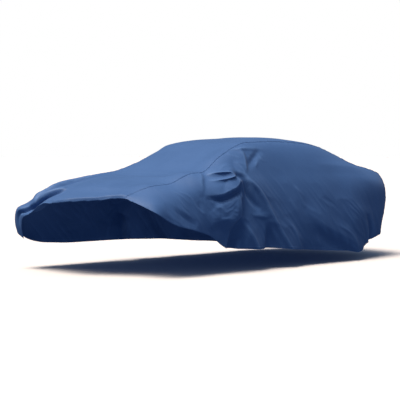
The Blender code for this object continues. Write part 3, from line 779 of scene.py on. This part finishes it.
def folded_cover():
    """The draped surface: points in the model's frame, outward normals, run, girth, painted crest
    highlight, grids.
    """
    points, run, girth, panels = smooth_cover()
    folds = list(FOLDS.values()) + [mirrored(FOLDS[name]) for name in RIGHT_COPIES]
    rise = sum(fold_rise(run, girth, fold) for fold in folds + wrinkles())
    body = (COLUMNS + 1, 2 * SIDE_ROWS + TOP_STRIPS + 1)
    size = body[0] * body[1]
    rise[:size] = softened(rise[:size].reshape(body)).ravel()
    rise += fine_rise(points, run, girth, panels)
    for name, lean in LEANS.items():
        leaning = fold_rise(run, girth, FOLDS[name])
        leaning[:size] = softened(leaning[:size].reshape(body)).ravel()
        points = points + leaning[:, None] * lean
    # Each point's share of the painted highlight on the crests.
    crest_highlight = painted_crest_highlight(rise[:size].reshape(body), len(points))
    points = points + outward_normals(points, panels) * rise[:, None]
    normals = outward_normals(points, panels)
    return points - (ORIGIN_X, 0, ORIGIN_Z), normals, run, girth, crest_highlight, panels


# ---------------------------------------------------------------- materials

CLOTH_BLUE = (0.0515, 0.1270, 0.3050, 1.0)
FADED_BLUE = (0.0640, 0.1500, 0.3480, 1.0)
# Paler blue painted on the crests as a highlight.
CREST_HIGHLIGHT_BLUE = (0.1050, 0.2100, 0.4300, 1.0)
GAP_SHADE_BLUE = (0.0300, 0.0800, 0.2100, 1.0)  # painted shade between the threads
THREAD_BLUE = (0.0480, 0.1180, 0.2800, 1.0)
SPECULAR = 0.5
SHEEN, SHEEN_ROUGHNESS = 0.06, 0.4
THREAD_ROUGHNESS = 0.5
THREAD_PITCH = 0.0011  # of the weave
WEAVE_DEPTH, WEAVE_STRENGTH = 0.00016, 0.6
FUZZ_DEPTH, FUZZ_STRENGTH, FUZZ_SHARE = 0.0010, 0.25, 0.3
GAP_SHADE_SHARE = 0.25  # of the painted shade in the gaps that shows
# Noise: its scale for each metre, and its detail.
PATCHES, FLECKS, FUZZ = (2.2, 4.0), (60.0, 3.0), (240.0, 2.0)
TWIST_SCALE = 900.0
# Each is a factor and an addition to the noise that it follows.
PATCH_FADE = (1.6, -0.6)
FLECK_FADE = 0.5
# How the painted crest highlight varies with the flecks.
FLECK_HIGHLIGHT = (0.7, 0.25)
PATCH_ROUGHNESS = (0.14, 0.55)


class Weaver:
    """A material's node tree, with short ways to add nodes to it."""

    def __init__(self, name):
        self.material = bpy.data.materials.new(name)
        self.material.use_nodes = True
        self.nodes = self.material.node_tree.nodes
        self.links = self.material.node_tree.links
        self.shader = self.nodes["Principled BSDF"]

    def feed(self, socket, source):
        if isinstance(source, bpy.types.NodeSocket):
            self.links.new(source, socket)
        else:
            socket.default_value = source

    def calculate(self, operation, *sources):
        node = self.nodes.new("ShaderNodeMath")
        node.operation = operation
        for socket, source in zip(node.inputs, sources):
            self.feed(socket, source)
        return node.outputs["Value"]

    def noise(self, vector, scale, detail=2.0):
        node = self.nodes.new("ShaderNodeTexNoise")
        node.inputs["Scale"].default_value = scale
        node.inputs["Detail"].default_value = detail
        self.links.new(vector, node.inputs["Vector"])
        return node.outputs["Fac"]

    def mix(self, share, first, second):
        """A colour between two, by share."""
        node = self.nodes.new("ShaderNodeMix")
        node.data_type = "RGBA"
        self.links.new(share, node.inputs["Factor"])
        colours = [socket for socket in node.inputs if socket.type == "RGBA"]
        for socket, source in zip(colours, (first, second)):
            self.feed(socket, source)
        return next(socket for socket in node.outputs if socket.type == "RGBA")

    def bump(self, height, depth, strength=1.0, normal=None):
        node = self.nodes.new("ShaderNodeBump")
        node.inputs["Distance"].default_value = depth
        node.inputs["Strength"].default_value = strength
        self.links.new(height, node.inputs["Height"])
        if normal is not None:
            self.links.new(normal, node.inputs["Normal"])
        return node.outputs["Normal"]


def cloth_material():
    """Plain-woven blue cloth: threads over and under with painted shade in the gaps, faded in
    patches, with a painted highlight on its crests.
    """
    weaver = Weaver("blue_cloth")
    nodes, links, shader = weaver.nodes, weaver.links, weaver.shader
    shader.inputs["Specular IOR Level"].default_value = SPECULAR
    shader.inputs["Sheen Weight"].default_value = SHEEN
    shader.inputs["Sheen Roughness"].default_value = SHEEN_ROUGHNESS

    flat = nodes.new("ShaderNodeUVMap")
    flat.uv_map = "cloth"
    split = nodes.new("ShaderNodeSeparateXYZ")
    links.new(flat.outputs["UV"], split.inputs["Vector"])
    turn = math.pi / THREAD_PITCH
    warp, weft = (
        weaver.calculate("SINE", weaver.calculate("MULTIPLY", split.outputs[axis], turn))
        for axis in "XY"
    )
    threads = weaver.calculate("ABSOLUTE", weaver.calculate("MULTIPLY", warp, weft))

    place = nodes.new("ShaderNodeTexCoord").outputs["Object"]
    patches = weaver.noise(place, *PATCHES)
    flecks = weaver.noise(place, *FLECKS)
    fuzz = weaver.noise(place, *FUZZ)
    fade = weaver.calculate("MULTIPLY_ADD", patches, *PATCH_FADE)
    fade = weaver.calculate("MULTIPLY_ADD", flecks, FLECK_FADE, fade)
    within = nodes.new("ShaderNodeClamp")
    links.new(fade, within.inputs["Value"])
    colour = weaver.mix(within.outputs["Result"], CLOTH_BLUE, FADED_BLUE)
    # Painted shade: darker blue in the gaps between the threads.
    gap_shade = weaver.calculate("MULTIPLY", weaver.calculate("SUBTRACT", 1.0, threads), GAP_SHADE_SHARE)
    colour = weaver.mix(gap_shade, colour, GAP_SHADE_BLUE)
    # Painted highlight: paler blue on the crests, patchy with the flecks.
    crest_highlight = nodes.new("ShaderNodeAttribute")
    crest_highlight.attribute_name = "crest_highlight"
    highlight_share = weaver.calculate("MULTIPLY_ADD", flecks, *FLECK_HIGHLIGHT)
    highlight_share = weaver.calculate("MULTIPLY", crest_highlight.outputs["Fac"], highlight_share)
    links.new(weaver.mix(highlight_share, colour, CREST_HIGHLIGHT_BLUE), shader.inputs["Base Color"])
    rough = weaver.calculate("MULTIPLY_ADD", patches, *PATCH_ROUGHNESS)
    links.new(rough, shader.inputs["Roughness"])

    weave = weaver.bump(threads, WEAVE_DEPTH, WEAVE_STRENGTH)
    nap = weaver.calculate("ADD", weaver.calculate("MULTIPLY", fuzz, FUZZ_SHARE), flecks)
    nap = weaver.bump(nap, FUZZ_DEPTH, FUZZ_STRENGTH, weave)
    links.new(nap, shader.inputs["Normal"])
    return weaver.material


def thread_material():
    """Twisted sewing thread, a little darker than the cloth."""
    weaver = Weaver("blue_thread")
    shader = weaver.shader
    shader.inputs["Roughness"].default_value = THREAD_ROUGHNESS
    place = weaver.nodes.new("ShaderNodeTexCoord").outputs["Object"]
    twist = weaver.noise(place, TWIST_SCALE)
    colour = weaver.mix(twist, THREAD_BLUE, FADED_BLUE)
    weaver.links.new(colour, shader.inputs["Base Color"])
    weaver.links.new(weaver.bump(twist, WEAVE_DEPTH), shader.inputs["Normal"])
    return weaver.material


# ---------------------------------------------------------------- pieces

# Rows of stitches on each panel: by which edge, and how far from it. The top panel laps the sides.
STITCH_ROWS = {
    "top_panel": (
        ("first", 0.0025),
        ("first", 0.0078),
        ("last", 0.0025),
        ("last", 0.0078),
        ("front", 0.0215),
        ("rear", 0.0215),
    ),
    "left_panel": (("last", 0.0215), ("front", 0.0215)),
    "right_panel": (("last", 0.0215), ("front", 0.0215)),
}
SEWN_STRIPS = 12  # strips from an edge within which stitches lie
STITCH_PITCH = 0.0045
STITCH_LENGTH = 0.0034
STITCH_RADIUS = 0.00045
# Along a stitch: the place from -1 to 1, the lift off the cloth, and the share of the radius.
STITCH_RINGS = ((-1.0, -0.0003, 0.6), (0.0, 0.0004, 1.1), (1.0, -0.0003, 0.6))
RING_CORNERS = ((-1, 0), (0, 1), (1, 0), (0, -1))  # aside and up


def edge_loop(grid):
    """The vertex places round a grid's edge, in order."""
    rows, strips = grid.shape
    return (
        [(0, s) for s in range(strips - 1)]
        + [(r, strips - 1) for r in range(rows - 1)]
        + [(rows - 1, s) for s in range(strips - 1, 0, -1)]
        + [(r, 0) for r in range(rows - 1, 0, -1)]
    )


def make_piece(name, mesh, material):
    """A piece of this mesh that rides on the part."""
    mesh.materials.append(material)
    mesh.shade_smooth()
    piece = bpy.data.objects.new(name, mesh)
    bpy.context.scene.collection.objects.link(piece)
    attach(piece, "root")
    return piece


def make_panel(name, grid, points, normals, run, girth, crest_highlight, material):
    """One cloth panel: its outer face on the draped surface, its inner face a thickness below."""
    outer = points[grid]
    inner = outer - normals[grid] * SHEET
    count = grid.size
    place = np.arange(count).reshape(grid.shape)
    corners = (place[:-1, :-1], place[1:, :-1], place[1:, 1:], place[:-1, 1:])
    quads = np.stack(corners, axis=-1).reshape(-1, 4)
    loop = np.array([place[spot] for spot in edge_loop(grid)])
    following = np.roll(loop, -1)
    rim = np.stack([loop, following, following + count, loop + count], axis=-1)
    faces = np.concatenate([quads, quads[:, ::-1] + count, rim])
    if name == "left_panel":
        faces = faces[:, ::-1]
    mesh = bpy.data.meshes.new(name + "_cloth")
    vertices = np.concatenate([outer.reshape(-1, 3), inner.reshape(-1, 3)])
    mesh.from_pydata(vertices.tolist(), [], faces.tolist())
    flat = np.stack([run[grid].ravel(), girth[grid].ravel()], axis=1)
    flat = np.concatenate([flat, flat])
    layer = mesh.uv_layers.new(name="cloth")
    corner_vertices = np.empty(len(mesh.loops), np.int32)
    mesh.loops.foreach_get("vertex_index", corner_vertices)
    layer.data.foreach_set("uv", flat[corner_vertices].astype(np.float32).ravel())
    # Each point's share of the painted crest highlight, on both faces.
    highlight_share = mesh.attributes.new("crest_highlight", "FLOAT", "POINT")
    highlight_share.data.foreach_set("value", np.tile(crest_highlight[grid].ravel(), 2).astype(np.float32))
    piece = make_piece(name + "_cloth", mesh, material)
    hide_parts(name)
    return piece


def sewing_line(sheet, normals, distance):
    """The line on a panel at this distance from its first strip, and the normals along it."""
    steps = np.linalg.norm(np.diff(sheet[:, :SEWN_STRIPS], axis=1), axis=2)
    across = np.concatenate([np.zeros((len(sheet), 1)), np.cumsum(steps, axis=1)], axis=1)
    both = np.concatenate([sheet, normals], axis=2)[:, :SEWN_STRIPS]
    line = np.array(
        [
            [np.interp(distance, places, values) for values in row.T]
            for places, row in zip(across, both)
        ]
    )
    return line[:, :3], line[:, 3:]


def stitches(line, normals):
    """Vertices and faces of a row of short stitches, each sinking into the cloth at its ends."""
    length = arc_lengths(line)
    middles = np.arange(STITCH_PITCH, length[-1] - STITCH_PITCH, STITCH_PITCH)

    def read(values, at):
        return np.stack([np.interp(at, length, values[:, axis]) for axis in range(3)], axis=1)

    up = read(normals, middles)
    up /= np.linalg.norm(up, axis=1)[:, None]
    along = read(line, middles + STITCH_LENGTH / 2) - read(line, middles - STITCH_LENGTH / 2)
    along /= np.linalg.norm(along, axis=1)[:, None]
    aside = np.cross(along, up)
    centre = read(line, middles)
    rings = []
    for place, lift, size in STITCH_RINGS:
        middle = centre + along * place * STITCH_LENGTH / 2 + up * lift
        for side, rise in RING_CORNERS:
            rings.append(middle + (aside * side + up * rise) * size * STITCH_RADIUS)
    vertices = np.stack(rings, axis=1).reshape(-1, 3)
    around = len(RING_CORNERS)
    one = []
    for ring in range(len(STITCH_RINGS) - 1):
        for corner in range(around):
            a, b = ring * around + corner, ring * around + (corner + 1) % around
            one.append((a, b, b + around, a + around))
    last = around * (len(STITCH_RINGS) - 1)
    one += [tuple(range(around))[::-1], tuple(range(last, last + around))]
    starts = np.arange(len(middles)) * around * len(STITCH_RINGS)
    faces = (starts[:, None, None] + np.array(one)).reshape(-1, around)
    return vertices, faces


def make_stitches(name, grid, points, normals, material):
    """All the rows of stitches that are sewn through one panel, as one piece."""
    sheet, up = points[grid], normals[grid]
    vertices = []
    faces = []
    count = 0
    for edge, distance in STITCH_ROWS[name]:
        if edge in ("front", "rear"):
            turned, turned_up = sheet.transpose(1, 0, 2), up.transpose(1, 0, 2)
        else:
            turned, turned_up = sheet, up
        if edge in ("rear", "last"):
            turned, turned_up = turned[:, ::-1], turned_up[:, ::-1]
        row_vertices, row_faces = stitches(*sewing_line(turned, turned_up, distance))
        vertices.append(row_vertices)
        faces.append(row_faces + count)
        count += len(row_vertices)
    mesh = bpy.data.meshes.new(name + "_stitches")
    mesh.from_pydata(np.concatenate(vertices).tolist(), [], np.concatenate(faces).tolist())
    return make_piece(name + "_stitches", mesh, material)


def main():
    make_camera()
    make_stage()
    points, normals, run, girth, crest_highlight, panels = folded_cover()
    cloth = cloth_material()
    thread = thread_material()
    for name, grid in panels.items():
        piece = make_panel(name, grid, points, normals, run, girth, crest_highlight, cloth)
        sewing = make_stitches(name, grid, points, normals, thread)


main()
